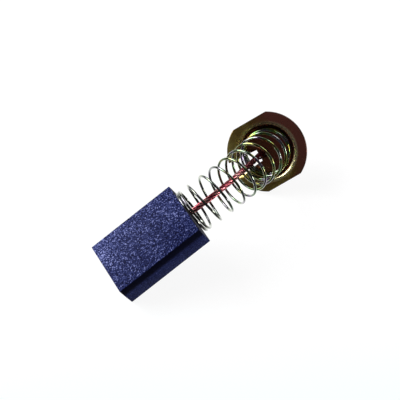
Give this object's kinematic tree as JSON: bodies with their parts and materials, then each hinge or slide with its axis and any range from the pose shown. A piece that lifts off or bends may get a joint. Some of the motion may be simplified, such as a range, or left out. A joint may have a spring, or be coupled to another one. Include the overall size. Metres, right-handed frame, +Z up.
{
  "type": "carbon motor brush",
  "caption": "Rectangular carbon motor brush with a bent coil spring, a copper pigtail inside it and a slotted metal cap with a flatted flange.",
  "frame": {"origin": "on the floor that the part lies on, below the middle of its outline seen from above", "axes": "+Z up from that floor; +X level, from the block towards the cap; +Y level, across the block"},
  "size_m": [0.0433, 0.02, 0.0159],
  "materials": {
    "carbon": "matte",
    "copper_powder": "matte",
    "copper_rope": "satin",
    "spring_wire": "gloss",
    "cap_metal": "satin",
    "weld_metal": "matte"
  },
  "bodies": {
    "block": {"carbon_block": "carbon", "tamping_plug": "copper_powder", "pigtail": "copper_rope", "spring": "spring_wire"},
    "cap": {"cap": "cap_metal", "weld": "weld_metal"}
  },
  "joints": [
    {"name": "cap_press", "type": "slide", "parent": "block", "child": "cap", "axis": [-0.9122, -0.3742, 0.1671], "range_m": [0, 0.008], "stiffness_N_per_m": 260, "deforming": ["spring", "pigtail"]}
  ]
}
